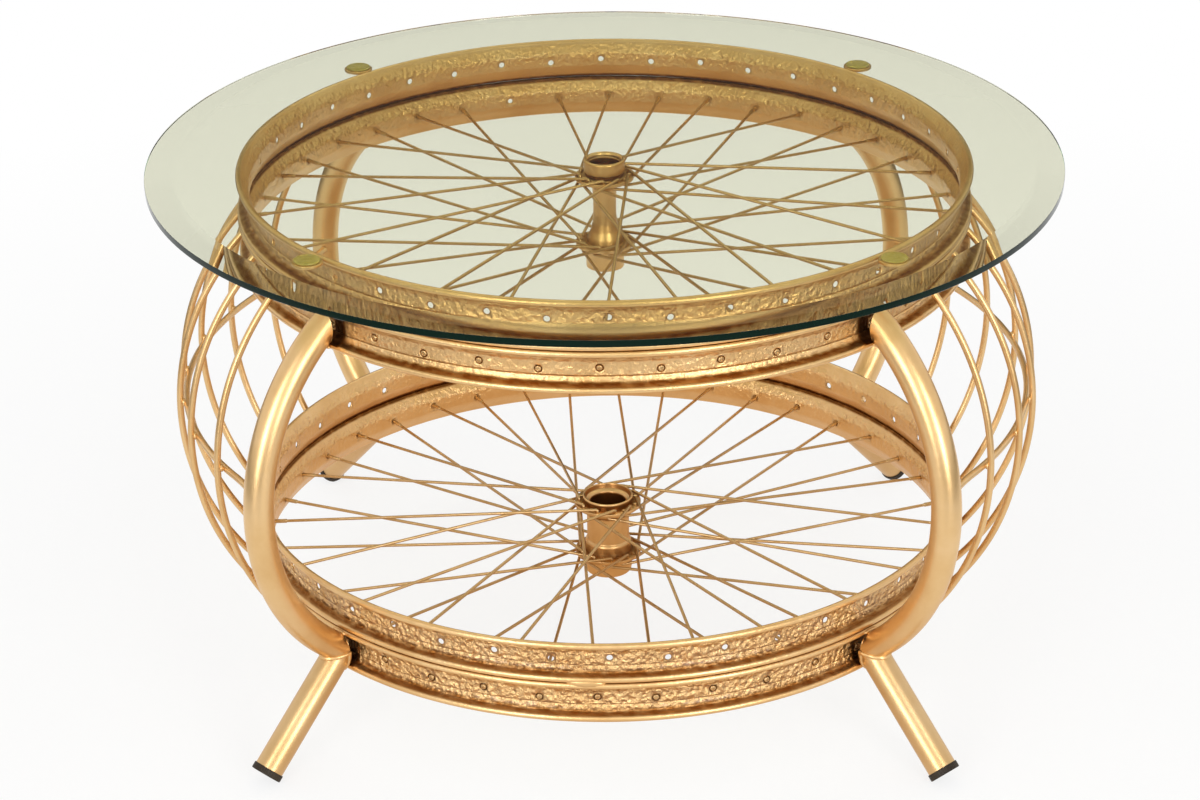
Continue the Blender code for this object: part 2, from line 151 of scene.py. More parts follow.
# A broken corner: each corner of a profile becomes a short curve between points cut back along its two edges
def softCorners(profile, cuts, steps=4, closed=True):
    points = np.asarray(profile, float)
    cut = np.broadcast_to(np.asarray(cuts, float), len(points))[:, None].copy()
    if not closed:
        cut[[0, -1]] = 0
    most = 0.45  # of an edge's length
    ends = []
    for other in (np.roll(points, 1, axis=0), np.roll(points, -1, axis=0)):
        back = np.minimum(cut / np.linalg.norm(other - points, axis=1)[:, None], most)
        ends.append((points + (other - points) * back)[:, None])
    t = np.linspace(0, 1, steps)[None, :, None]
    bend = (1 - t) ** 2 * ends[0] + 2 * t * (1 - t) * points[:, None] + t ** 2 * ends[1]
    return bend.reshape(-1, 2)


# A turned shape: a profile of radius and height carried round an upright line
def turned(profile, sides, centre=(0.0, 0.0, 0.0)):
    return polar(profile[:, :1], fullTurn(sides), profile[:, 1:]) + np.asarray(centre)


# A round tube: circles stand across a path that bends about one fixed axis only
def sweptTube(path, radius, axis, sides):
    step = unit(np.gradient(path, axis=0))
    side = np.broadcast_to(np.asarray(axis, float), path.shape)
    out = unit(np.cross(side, step))
    turn = fullTurn(sides)
    across = np.cos(turn)[None, :, None] * out[:, None] + np.sin(turn)[None, :, None] * side[:, None]
    return path[:, None] + radius * across


# Circle through two ends at one radius and a bulge half-way up: centre, arc radius and half swing
def bulgedArc(endRadius, low, high, bulge):
    half = (high - low) / 2
    depth = bulge - endRadius
    radius = (half * half + depth * depth) / (2 * depth)
    return np.array([bulge - radius, 0.0, (low + high) / 2]), radius, math.asin(half / radius)


# Points of such a circle in the plane y = 0, and the directions along it
def arcPath(centre, radius, angle):
    still = np.zeros_like(angle)
    path = centre + radius * np.stack([np.cos(angle), still, np.sin(angle)], axis=-1)
    return path, np.stack([-np.sin(angle), still, np.cos(angle)], axis=-1)


# Node helpers

# Gives each named or numbered socket a fixed value or another node's output
def feed(node, sockets):
    for key, value in sockets.items():
        socket = node.inputs[key]
        if isinstance(value, bpy.types.NodeSocket):
            socket.id_data.links.new(value, socket)
        else:
            socket.default_value = value


# A way to add nodes to a look or to the world
def nodeAdder(look):
    def add(kind, **sockets):
        node = look.node_tree.nodes.new("ShaderNode" + kind)
        feed(node, sockets)
        return node

    return add


# A new look: its shader, the way to add a node, and its Object coordinates
def newLook(name):
    look = bpy.data.materials.new(name)
    look.use_nodes = True
    add = nodeAdder(look)
    return look, look.node_tree.nodes["Principled BSDF"], add, add("TexCoord").outputs["Object"]


# Spans a value from one range to another
def mapValue(add, source, low, high, toLow, toHigh):
    node = add("MapRange")
    feed(node, dict(enumerate((source, low, high, toLow, toHigh))))
    return node.outputs[0]


# Two values taken together by a sum, product or the like
def joinValues(add, operation, first, second, clamp=False):
    node = add("Math")
    node.operation = operation
    node.use_clamp = clamp
    feed(node, {0: first, 1: second})
    return node.outputs[0]


# A mark that the mesh carries on its points
def readMark(add, name):
    node = add("Attribute")
    node.attribute_name = name
    return node.outputs["Fac"]


def addNoise(add, place, **sockets):
    return add("TexNoise", Vector=place, **sockets).outputs["Fac"]


# Colours blended along a value; a stop is a position and a colour
def addRamp(add, source, stops):
    node = add("ValToRGB", Fac=source)
    first, *between, last = stops
    marks = node.color_ramp.elements
    marks[0].position, marks[0].color = first
    marks[1].position, marks[1].color = last
    for position, colour in between:
        marks.new(position).color = colour
    return node.outputs["Color"]


# The first of two colours or shaders where the share is 0, the second where it is 1
def mixColours(add, share, first, second):
    return add("MixRGB", Fac=share, Color1=first, Color2=second).outputs["Color"]


def mixShaders(add, share, first, second):
    node = add("MixShader", Fac=share)
    feed(node, {1: first, 2: second})
    return node.outputs[0]


# A bump by a height, on top of another Normal where one is given
def addBump(add, height, strength, distance, **under):
    return add("Bump", Height=height, Strength=strength, Distance=distance, **under).outputs["Normal"]


# Finishes

noiseSpan = (0.3, 0.7)  # where most values of a noise lie
goldFinish = {
    "pale": (0.835, 0.560, 0.268), "mid": (0.795, 0.512, 0.222), "deep": (0.730, 0.442, 0.172),
    "paleAt": 0.68, "midAt": 0.5, "deepAt": 0.32, "cloudScale": 16.0,
    # brown and shadeDark are painted shade colours: brown in grooves and seams, near black in the deepest
    # recesses
    "edge": (1.0, 0.90, 0.74, 1), "brown": (0.270, 0.100, 0.020, 1), "shadeDark": (0.050, 0.019, 0.006, 1),
    "brownAt": 0.62, "metallic": 0.95, "smooth": 0.30, "rough": 0.42, "flakeScale": 900.0,
    "coat": 0.65, "coatRough": 0.24, "coatFade": (0.05, 0.35),
    "peel": 0.03, "sand": 0.30, "skinScale": 420.0, "skinDepth": 0.001,
    "hammer": 0.9, "pitScale": 230.0, "grainScale": 270.0, "dentDepth": 0.0036,
    # tones that scale the same paint: darker copies as painted shade, a lighter copy as painted light
    "wireShadedTone": 0.74, "footShadedTone": 0.87, "rimLitTone": 1.04,
}


# Sprayed gold-bronze: clouded colour, orange-peel bump, flake in the gloss; a hammered look also reads two
# marks on the mesh, "hammer" for pits and "shade" for painted shade in grooves, recesses and between parts
def goldPaint(name, hammered=False, tone=1.0, skin="peel"):
    look, shader, add, place = newLook(name)
    cloud = addNoise(add, place, Scale=goldFinish["cloudScale"], Detail=4.0, Roughness=0.6)
    stops = [(goldFinish[key + "At"], [part * tone for part in goldFinish[key]] + [1])
             for key in ("deep", "mid", "pale")]
    colour = addRamp(add, cloud, stops)
    flake = addNoise(add, place, Scale=goldFinish["flakeScale"], Detail=2.0)
    rough = mapValue(add, flake, *noiseSpan, goldFinish["smooth"], goldFinish["rough"])
    peel = addNoise(add, place, Scale=goldFinish["skinScale"], Detail=2.0)
    normal = addBump(add, peel, goldFinish[skin], goldFinish["skinDepth"])
    coat = goldFinish["coat"]
    if hammered:
        pits = add("TexVoronoi", Vector=place, Scale=goldFinish["pitScale"])
        pits.feature = "SMOOTH_F1"
        grain = addNoise(add, place, Scale=goldFinish["grainScale"], Detail=3.0, Distortion=0.7)
        both = joinValues(add, "ADD", pits.outputs["Distance"], grain)
        depth = joinValues(add, "MULTIPLY", both, readMark(add, "hammer"))
        normal = addBump(add, depth, goldFinish["hammer"], goldFinish["dentDepth"], Normal=normal)
        # Painted shade: the colour turns brown, then near black, as the shade mark rises
        shade = readMark(add, "shade")
        middle = goldFinish["brownAt"]
        for low, high, under in ((0.0, middle, "brown"), (middle, 1.0, "shadeDark")):
            shadeShare = mapValue(add, shade, low, high, 0.0, 1.0)
            colour = mixColours(add, shadeShare, colour, goldFinish[under])
        coat = mapValue(add, shade, *goldFinish["coatFade"], coat, 0.0)
    feed(shader, {"Base Color": colour, "Metallic": goldFinish["metallic"], "Roughness": rough,
                  "Coat Weight": coat, "Coat Roughness": goldFinish["coatRough"],
                  "Specular Tint": goldFinish["edge"], "Normal": normal})
    return look


glassFinish = {
    "tint": (1.0, 0.995, 0.805, 1), "edge": (0.0030, 0.0115, 0.0075, 1), "shadow": (0.88, 0.88, 0.76, 1),
    "absorb": (0.10, 0.70, 0.30, 1), "density": 1.5, "ior": 1.48,
    "wipe": 0.012, "wipeSpan": (0.4, 0.75), "wipeScale": 9.0,
}


# Clear float glass: tinted refraction, an upright edge that shows dark green, marked "edge" on the mesh, and
# light let through to the wheels below by clear shadow rays; faint wipe marks vary the gloss
def clearGlass(name):
    look, shader, add, place = newLook(name)
    within = add("NewGeometry").outputs["Backfacing"]  # from within the glass the edge lets light out
    outside = joinValues(add, "SUBTRACT", readMark(add, "edge"), within, clamp=True)
    green = mixColours(add, outside, glassFinish["tint"], glassFinish["edge"])
    wipe = addNoise(add, place, Scale=glassFinish["wipeScale"], Detail=5.0)
    rough = mapValue(add, wipe, *glassFinish["wipeSpan"], 0.0, glassFinish["wipe"])
    feed(shader, {"Base Color": green, "Roughness": rough, "IOR": glassFinish["ior"],
                  "Transmission Weight": mapValue(add, outside, 0.0, 1.0, 1.0, 0.0)})
    clear = add("BsdfTransparent", Color=glassFinish["shadow"])
    shadowRay = add("LightPath").outputs["Is Shadow Ray"]
    surface = mixShaders(add, shadowRay, shader.outputs[0], clear.outputs[0])
    body = add("VolumeAbsorption", Color=glassFinish["absorb"], Density=glassFinish["density"])
    feed(look.node_tree.nodes["Material Output"], {"Surface": surface, "Volume": body.outputs[0]})
    return look


padFinish = {"dark": (0.74, 0.60, 0.150, 1), "light": (0.92, 0.80, 0.330, 1), "ior": 1.45, "clear": 0.55,
             "gloss": (0.04, 0.14), "bubbleScale": 260.0}


# Clear rubbery pad: yellowed, with small bubbles in its gloss and colour
def clearPad(name):
    look, shader, add, place = newLook(name)
    bubble = addNoise(add, place, Scale=padFinish["bubbleScale"], Detail=3.0)
    colour = addRamp(add, bubble, list(zip(noiseSpan, (padFinish["dark"], padFinish["light"]))))
    rough = mapValue(add, bubble, *noiseSpan, *padFinish["gloss"])
    feed(shader, {"Base Color": colour, "Roughness": rough, "IOR": padFinish["ior"],
                  "Transmission Weight": padFinish["clear"]})
    return look


plasticFinish = {"dark": (0.014, 0.009, 0.005, 1), "worn": (0.044, 0.030, 0.017, 1), "specular": 0.25,
                 "wornSpan": (0.35, 0.72), "gloss": (0.35, 0.6), "scuffScale": 90.0,
                 "grain": 0.15, "grainScale": 1400.0, "grainDepth": 0.0005}


# Moulded black plastic: brown-black, scuffed, finely grained
def blackPlastic(name):
    look, shader, add, place = newLook(name)
    scuff = addNoise(add, place, Scale=plasticFinish["scuffScale"], Detail=5.0, Roughness=0.7)
    colours = (plasticFinish["dark"], plasticFinish["worn"])
    colour = addRamp(add, scuff, list(zip(plasticFinish["wornSpan"], colours)))
    rough = mapValue(add, scuff, *noiseSpan, *plasticFinish["gloss"])
    grain = addNoise(add, place, Scale=plasticFinish["grainScale"], Detail=2.0)
    normal = addBump(add, grain, plasticFinish["grain"], plasticFinish["grainDepth"])
    feed(shader, {"Base Color": colour, "Roughness": rough, "Normal": normal,
                  "Specular IOR Level": plasticFinish["specular"]})
    return look


# wire_gold and foot_gold are darker copies of the paint, painted shade on the thin wires and the feet;
# rim_gold is a lighter copy, painted light on the rims
tubeGold = goldPaint("tube_gold")
wireGold = goldPaint("wire_gold", tone=goldFinish["wireShadedTone"])
footGold = goldPaint("foot_gold", tone=goldFinish["footShadedTone"])
rimGold = goldPaint("rim_gold", hammered=True, tone=goldFinish["rimLitTone"], skin="sand")
hubGold = goldPaint("hub_gold", hammered=True)
tableGlass = clearGlass("table_glass")
padRubber = clearPad("pad_rubber")
capPlastic = blackPlastic("cap_plastic")
print("finishes made")


# Rims

rimShape = {
    "holes": 40, "perHole": 22, "holeRadius": 0.0027, "nippleHole": 0.0023, "seatRadius": 0.0036,
    "stagger": 0.00114, "wellOuter": 0.3123, "wellInner": 0.3109,
    "blockHalf": 0.0050, "blockRows": 7, "blockCols": 5,
    "beadRadius": 0.3191, "beadHeight": 0.0157, "beadRound": 0.0029, "beadArc": (160, -72), "beadPoints": 17,
    "crease": 0.0006, "dimple": 0.0004, "nippleDimple": 0.0008,
    "hammerDepth": 0.00085, "deepest": 0.0007, "holeHammer": 0.8, "waviness": 0.00012, "waveCells": (26, 3),
    "lipDark": 3, "darkFade": 0.8, "darkest": 0.95, "shadeNoise": 0.4, "shadeCells": (420, 34),
}
hammerSizes = [(0.62, 380, 22), (0.5, 700, 40), (0.25, 60, 5)]  # weight, cells round, cells across
legAngles = {"front_right": -45, "back_right": 45, "back_left": 135, "front_left": 225}

# Rings of points that lead from the grid to a hole's edge, through the wall and out on the inner side: their
# share of the way to the edge and of the wall, how deep they sink and how much painted shade they get in the
# hole and in the dimple round a nipple
holeRings = {
    "share": np.array([0.15, 0.35, 0.55, 0.75, 0.93, 1.0, 1.0, 1.0, 1.0, 0.75, 0.4]),
    "wall": np.array([0.0, 0.0, 0.0, 0.0, 0.0, 0.12, 0.5, 0.88, 1.0, 1.0, 1.0]),
    "sink": np.array([0.0, 0.05, 0.15, 0.4, 0.8, 1.0, 0.5, 0.0, 0.0, 0.0, 0.0]),
    "paintedShade": np.array([0.0, 0.0, 0.0, 0.05, 0.15, 0.25, 0.25, 0.2, 0.1, 0.0, 0.0]),
    "nippleSink": np.array([-0.3, -0.2, 0.5, 0.9, 1.0, 1.0, 0.5, 0.0, 0.0, 0.0, 0.0]),
    "nippleShade": np.array([0.0, 0.05, 0.5, 0.75, 0.8, 0.8, 0.8, 0.5, 0.2, 0.0, 0.0]),
}


# Closed rim section in radius and height: rolled bead, groove, tyre bed, well, and the same below, then the
# inner side; each point carries how hammered it is and how much painted shade it gets
def rimSection(rim):
    crease = rim["crease"]
    spoked = rim["recess"] > 0
    rows = rimShape["blockRows"]
    arc = np.radians(np.linspace(*rimShape["beadArc"], rimShape["beadPoints"]))
    beadR = rimShape["beadRadius"] + rimShape["beadRound"] * np.cos(arc)
    beadZ = rimShape["beadHeight"] + rimShape["beadRound"] * np.sin(arc)
    bedZ = np.array([12.2, 11.6, 10.9, 10.0, 9.0, 7.9, 6.9, 6.1, 5.5]) / 1000
    bedR = np.array([317.0, 315.5, 314.7, 314.2, 313.8, 313.3, 312.8, 312.5, 312.35]) / 1000
    lowBedR = np.array([317.0, 315.4, 314.3, 313.5, 313.05, 312.75, 312.55, 312.42, 312.35]) / 1000
    lowBedR[7] -= rimShape["crease"] * crease  # thin line under the holes
    blockZ = np.linspace(rimShape["blockHalf"], -rimShape["blockHalf"], rows)
    blockR = np.full(rows, rimShape["wellOuter"])
    innerZ = np.array([-14.6, -12.6, -10.4, -8.3, -6.5, -5.3]) / 1000
    innerR = np.array([315.6, 314.3, 313.1, 312.0, 311.2, 310.95]) / 1000
    r = np.concatenate([beadR, bedR, blockR, lowBedR[::-1], beadR[::-1], innerR,
                        np.full(rows, rimShape["wellInner"]), innerR[::-1]])
    z = np.concatenate([beadZ, bedZ, blockZ, -bedZ[::-1], -beadZ[::-1], innerZ, -blockZ, -innerZ[::-1]])
    bead = np.full(len(arc), 0.04)
    bedHammer = np.array([0.15, 0.3, 0.5, 0.75, 0.9, 1.0, 1.0, 1.0, 1.0])
    lowHammer = np.array([0.12, 0.25, 0.45, 0.7, 0.85, 0.85, 0.8, 0.7, 0.9])
    innerLow = np.array([0.04, 0.06, 0.08, 0.1, 0.12, 0.15])
    innerHigh = np.array([0.2, 0.28, 0.35, 0.4, 0.4, 0.35])
    outside = np.concatenate([bead, bedHammer, np.ones(rows), lowHammer[::-1], bead])
    inside = np.concatenate([innerLow, np.linspace(0.15, 0.35, rows), innerHigh[::-1]])
    hammer = np.concatenate([outside * rim["hammer"], inside * rim["inner"]])
    # Painted shade: brown under the top bead down towards the holes, in the groove above the lower bead and
    # on the crease line, dark in the V where two stacked rims meet, and a little on each bead's groove side
    groove = np.array([0.50, 0.50, 0.42, 0.32, 0.23, 0.17, 0.13, 0.10, 0.08])
    lowGroove = np.array([0.55, 0.62, 0.50, 0.26, 0.06, 0.0, 0.0, 0.5 * crease, 0.0])
    blockShade = np.array([0.08, 0.06, 0.04, 0.02, 0.0, 0.0, 0.0])
    seam = np.array([0.85, 0.8, 0.75, 0.7, 0.65, 0.62, 0.5, 0.2])  # where the lips of two stacked rims meet
    under = np.array([0.0, 0.0, 0.0, 0.0, 0.0, 0.0, 0.08, 0.2, 0.4])
    highBead = np.concatenate([seam * spoked, under])
    lowBead = np.concatenate([seam * (not spoked), under])
    shade = np.concatenate([highBead, groove, blockShade, lowGroove[::-1], lowBead[::-1], 0 * inside])
    return r, z, hammer, shade, len(beadR) + len(bedR), len(outside) + len(innerZ)


# Outward directions of a closed section that runs clockwise, seen with radius to the right
def sectionNormals(r, z):
    dr = np.roll(r, -1) - np.roll(r, 1)
    dz = np.roll(z, -1) - np.roll(z, 1)
    size = np.hypot(dr, dz)
    return -dz / size, dr / size


# Depth of hammer marks at a turn and a place on the section: smooth noise of several sizes, added up
def hammerMarks(u, v, seed):
    return sum(weight * latticeNoise(u, v, cells, rows, seed + order)
               for order, (weight, cells, rows) in enumerate(hammerSizes))


# A rim: its section carried round the wheel, with round spoke holes let in by rings of points that run from
# a square of the grid to the hole's edge, through the wall, and out to the square on the inner side
def makeRim(name, node, rim):
    seed = rim["seed"]
    holes = rimShape["holes"]
    rows = rimShape["blockRows"]
    wide = rimShape["blockCols"]
    cols = holes * rimShape["perHole"]
    deepest = rimShape["deepest"]
    height = middleHeight(node)
    spoked = rim["recess"] > 0
    dimple = rimShape["nippleDimple" if spoked else "dimple"]
    holeRadius = rimShape["nippleHole" if spoked else "holeRadius"]
    r, z, hammer, shade, outerStart, innerStart = rimSection(rim)
    nr, nz = sectionNormals(r, z)
    count = len(r)
    length = np.concatenate([[0], np.cumsum(np.hypot(np.diff(r), np.diff(z)))])
    v = length / (length[-1] + math.hypot(r[0] - r[-1], z[0] - z[-1]))
    gridU, gridV = np.meshgrid(np.arange(cols) / cols, v, indexing="ij")
    wave = rimShape["waviness"] * latticeNoise(gridU, gridV, *rimShape["waveCells"], seed + 7)
    lift = rimShape["hammerDepth"] * hammer[None] * hammerMarks(gridU, gridV, seed) + wave
    lift = np.clip(lift, -deepest, deepest)
    gridR = r[None] + nr[None] * lift
    gridZ = z[None] + nz[None] * lift
    angle = 2 * math.pi * gridU - math.radians(rim["turn"])
    grid = polar(gridR, angle, gridZ + height)
    # Shade: patchy brown in the grooves, and dark in the channel behind the ends of the legs
    patchy = 1 + rimShape["shadeNoise"] * latticeNoise(gridU, gridV, *rimShape["shadeCells"], seed + 9)
    gridShade = np.clip(shade[None] * patchy, 0, np.maximum(shade, goldFinish["brownAt"])[None])
    spot = np.arange(count)
    first = rimShape["beadPoints"] - rimShape["lipDark"]
    channel = ((spot >= first) & (spot < 2 * outerStart + rows - first)) * np.ones((cols, 1))
    for leg in legAngles.values():
        off = np.degrees(np.abs((angle - math.radians(leg) + math.pi) % (2 * math.pi) - math.pi))
        dark = np.clip((rim["recess"] - off) / rimShape["darkFade"], 0, rimShape["darkest"])
        gridShade = np.maximum(gridShade, channel * dark)
    # Squares of the grid that make way for the holes
    middle = wide // 2
    columns = (np.arange(holes)[:, None] * rimShape["perHole"] + np.arange(-middle, middle + 1)[None]) % cols
    keep = np.ones((cols, count), bool)
    for start in (outerStart, innerStart):
        keep[columns[:, :-1, None], (start + np.arange(rows - 1))[None, None]] = False
    quads = gridQuads(cols, count, True, True).reshape(cols, count, 4)[keep]
    # Way round the square of grid points about a hole, by column and row
    across = np.concatenate([np.arange(wide), np.full(rows - 2, wide - 1), np.arange(wide - 1, -1, -1),
                             np.zeros(rows - 2, int)])
    down = np.concatenate([np.zeros(wide, int), np.arange(1, rows - 1), np.full(wide, rows - 1),
                           np.arange(rows - 2, 0, -1)])
    outerRing = columns[:, across] * count + outerStart + down[None]
    innerRing = columns[:, across] * count + innerStart + (rows - 1 - down)[None]
    squareX = (across - middle) * 2 * math.pi / cols * rimShape["wellOuter"]
    blockZ = np.linspace(-rimShape["blockHalf"], rimShape["blockHalf"], rows)
    squareZ = blockZ[::-1][down]
    centreZ = np.where(np.arange(holes) % 2 == 0, 1, -1) * rimShape["stagger"]
    way = np.arctan2(squareZ[None] - centreZ[:, None], squareX[None] + np.zeros((holes, 1)))
    # Rings round the holes: the first is half square, the others are circles that close in on the edge
    share = holeRings["share"]
    left = 1 - share[None, :, None]
    wall = holeRings["wall"][None, :, None]
    sink = holeRings["nippleSink" if spoked else "sink"][None, :, None]
    paintedShade = holeRings["nippleShade" if spoked else "paintedShade"][None, :, None]
    blend = np.ones((1, len(share), 1))
    blend[0, 0] = 0.5
    radius = np.interp(share, [share[1], 1.0], [rimShape["seatRadius"], holeRadius])[None, :, None]
    ringX = squareX[None, None] * (1 - blend) + radius * np.cos(way)[:, None] * blend
    roundZ = centreZ[:, None, None] + radius * np.sin(way)[:, None]
    ringZ = squareZ[None, None] * (1 - blend) + roundZ * blend
    ringAngle = ringX / rimShape["wellOuter"] + fullTurn(holes)[:, None, None]
    ringU = ringAngle / (2 * math.pi)
    outerV = np.interp(ringZ, blockZ, v[outerStart:outerStart + rows][::-1])
    innerV = np.interp(ringZ, blockZ, v[innerStart:innerStart + rows])
    outerLift = rimShape["hammerDepth"] * rim["hammer"] * hammerMarks(ringU, outerV, seed)
    outerLift = np.clip(outerLift, -deepest, deepest) * left
    innerHammer = np.interp(ringZ, blockZ, hammer[innerStart:innerStart + rows])
    innerLift = rimShape["hammerDepth"] * innerHammer * hammerMarks(ringU, innerV, seed) * left
    ringR = (rimShape["wellOuter"] - dimple * sink + outerLift) * (1 - wall)
    ringR = ringR + (rimShape["wellInner"] - innerLift) * wall
    ringAngle = ringAngle - math.radians(rim["turn"])
    ring = polar(ringR, ringAngle, ringZ + height)
    ringIndex = cols * count + np.arange(ringX.size).reshape(ringX.shape)
    chain = np.concatenate([outerRing[:, None], ringIndex, innerRing[:, None]], axis=1)
    hoops = quadsOf(np.concatenate([chain, chain[:, :, :1]], axis=2))
    points = np.concatenate([grid.reshape(-1, 3), ring.reshape(-1, 3)])
    pits = np.broadcast_to(hammer[None], gridU.shape)
    ringPits = np.broadcast_to(rim["hammer"] * rimShape["holeHammer"] * left, ringU.shape)
    aroundHole = np.interp(ringZ, blockZ, shade[outerStart:outerStart + rows][::-1])
    ringShade = np.maximum(paintedShade, aroundHole * (1 - wall))
    marks = {"hammer": np.concatenate([pits.ravel(), ringPits.ravel()]),
             "shade": np.concatenate([gridShade.ravel(), ringShade.ravel()])}
    faces = quads.tolist() + hoops.tolist()
    makePiece(name, points, faces, rimGold, node, sharp=60.0, marks=marks)


# Seed, turn in degrees, strength of the hammered texture outside and inside, and of the crease, half angle of
# the painted shade in the channel behind a leg's end
rims = {
    "upper_plain": {"seed": 11, "turn": -1.4, "hammer": 0.45, "inner": 1.50, "crease": 0.8, "recess": 0.0},
    "upper_spoked": {"seed": 31, "turn": 0.0, "hammer": 0.25, "inner": 1.30, "crease": 1.0, "recess": 3.3},
    "lower_plain": {"seed": 51, "turn": -1.0, "hammer": 1.15, "inner": 1.00, "crease": 0.0, "recess": 0.0},
    "lower_spoked": {"seed": 71, "turn": 0.9, "hammer": 0.95, "inner": 0.90, "crease": 0.2, "recess": 2.9},
}
for rimName, rim in rims.items():
    makeRim("rim_" + rimName, rimName + "_rim", rim)
print("rims made")


# Hubs

# A corner of a profile is radius and height in millimetres, and its painted shade, dark in grooves and bores,
# where that isn't nought
hubs = {
    "upper": {
        "height": 0.400, "turn": 0.0, "flip": -1, "missing": [12],
        "circle": 0.0220, "flanges": (0.0365, -0.0255),
        "shell": [(16.8, 53.5), (17.7, 53.1), (18.15, 52.0), (18.15, 42.4), (17.4, 41.7, 0.5),
                  (15.9, 41.2, 0.62), (15.9, 39.6, 0.62), (19.4, 39.0, 0.3), (20.2, 38.4), (20.2, 38.0, 0.4),
                  (26.0, 38.0), (26.0, 35.0), (17.0, 35.0, 0.4), (14.2, 32.0, 0.2), (10.9, 26.0),
                  (10.15, 17.0), (10.2, 2.0), (10.9, -6.0), (12.6, -13.0), (15.2, -19.0), (16.5, -24.0, 0.4),
                  (26.0, -24.0), (26.0, -27.0), (19.0, -27.1, 0.4), (16.9, -29.6), (16.9, -47.5),
                  (15.2, -47.5), (15.2, -38.5, 0.75), (8.45, -38.5, 0.75), (8.45, 44.5, 0.75),
                  (16.45, 44.5, 0.75), (16.45, 53.4)],
        "topCup": [(16.15, 53.4), (15.3, 52.9), (14.6, 51.4), (14.5, 49.4, 0.1), (13.9, 48.6, 0.6),
                   (13.9, 44.8, 0.7), (16.15, 44.8, 0.9)],
        "bottomCup": [(14.9, -47.5), (14.0, -47.5), (14.0, -43.0), (13.1, -38.8), (14.9, -38.8)],
    },
    "lower": {
        "height": 0.0975, "turn": 0.9, "flip": 1, "missing": [],
        "circle": 0.0265, "flanges": (0.0235, -0.0260),
        "shell": [(22.3, 31.5), (23.0, 31.2), (23.3, 30.4), (23.1, 29.4, 0.3), (22.4, 28.0, 0.5),
                  (22.2, 25.0, 0.6), (30.5, 25.0), (30.5, 22.0), (22.4, 22.0, 0.4), (21.8, 18.6),
                  (20.6, 15.6), (19.5, 14.2, 0.7), (19.8, 13.4, 0.3), (19.5, 12.6), (19.5, -12.4),
                  (20.8, -13.9), (21.4, -15.2), (21.3, -17.0, 0.2), (21.5, -21.0, 0.3), (22.0, -24.5, 0.5),
                  (30.5, -24.5), (30.5, -27.5), (23.6, -27.6, 0.4), (22.0, -29.6), (22.0, -41.0),
                  (21.4, -44.4), (20.7, -45.5), (20.3, -45.5), (20.3, -36.5, 0.6), (17.8, -36.5, 0.6),
                  (17.8, 22.5, 0.6), (21.6, 22.5, 0.6), (21.6, 31.4)],
        "topCup": [(21.3, 31.4, 0.3), (20.9, 30.6, 0.5), (20.2, 27.6, 0.5), (19.4, 26.9), (17.6, 26.2),
                   (16.75, 25.2, 0.1), (16.4, 24.6, 0.55), (16.0, 22.8, 0.6), (21.3, 22.8, 0.6)],
        "bottomCup": [(20.0, -45.5), (16.0, -45.5), (16.0, -41.0), (12.0, -36.8), (20.0, -36.8)],
    },
}
hubRound = {"shell": 0.00045, "cup": 0.00025, "sides": 96}


# A turned shape from a hub's closed profile, with soft corners and the painted shade of each corner on its
# points
def makeTurned(name, node, profile, height, cut):
    sides = hubRound["sides"]
    soft = softCorners(np.array([corner[:2] for corner in profile]) / 1000, cut)
    paintedShade = np.repeat([corner[2] if len(corner) > 2 else 0.0 for corner in profile], len(soft) // len(profile))
    points = turned(soft, sides, (0, 0, height))
    faces = gridQuads(len(soft), sides, True, True).tolist()
    shade = np.repeat(paintedShade, sides)
    marks = {"hammer": np.zeros_like(shade), "shade": shade}
    makePiece(name, points, faces, hubGold, node, sharp=50.0, marks=marks)


for tier, hub in hubs.items():
    height = hub["height"]
    makeTurned("hub_" + tier, tier + "_hub_shell", hub["shell"], height, hubRound["shell"])
    for end in ("top", "bottom"):
        makeTurned("hub_cup_" + end + "_" + tier, tier + "_hub_" + end + "_cup", hub[end + "Cup"], height,
                   hubRound["cup"])
print("hubs made")


# Spokes

# Depths below the flange and radii of a head, and places before the rim and radii of a nipple, in metres
spokeShape = {
    "radius": 0.00142, "sides": 8, "flange": 0.0030, "bend": 0.0023, "bendSteps": 6, "bendGap": 0.0002,
    "cross": 72.0,  # degrees round the hub
    "headDepth": np.array([1.4, 1.25, 0.9, 0.3, 0.1, 0.0]) / 1000,
    "headRadius": np.array([0.6, 1.6, 2.3, 2.2, 1.4, 1.4]) / 1000,
    "wirePlace": -np.array([0.25, 0.20, 0.15, 0.10, 0.05]) * 0.9,
    "nipplePlace": np.array([-14.5, -12.6, -12.4, -11.7, -0.5, -0.4, 0.0, 0.8, 1.45, 1.6, 1.5, 0.7]) / 1000,
    "nippleRadius": np.array([1.42, 1.42, 1.6, 1.95, 1.95, 2.7, 2.85, 2.75, 2.3, 1.7, 1.25, 1.1]) / 1000,
}


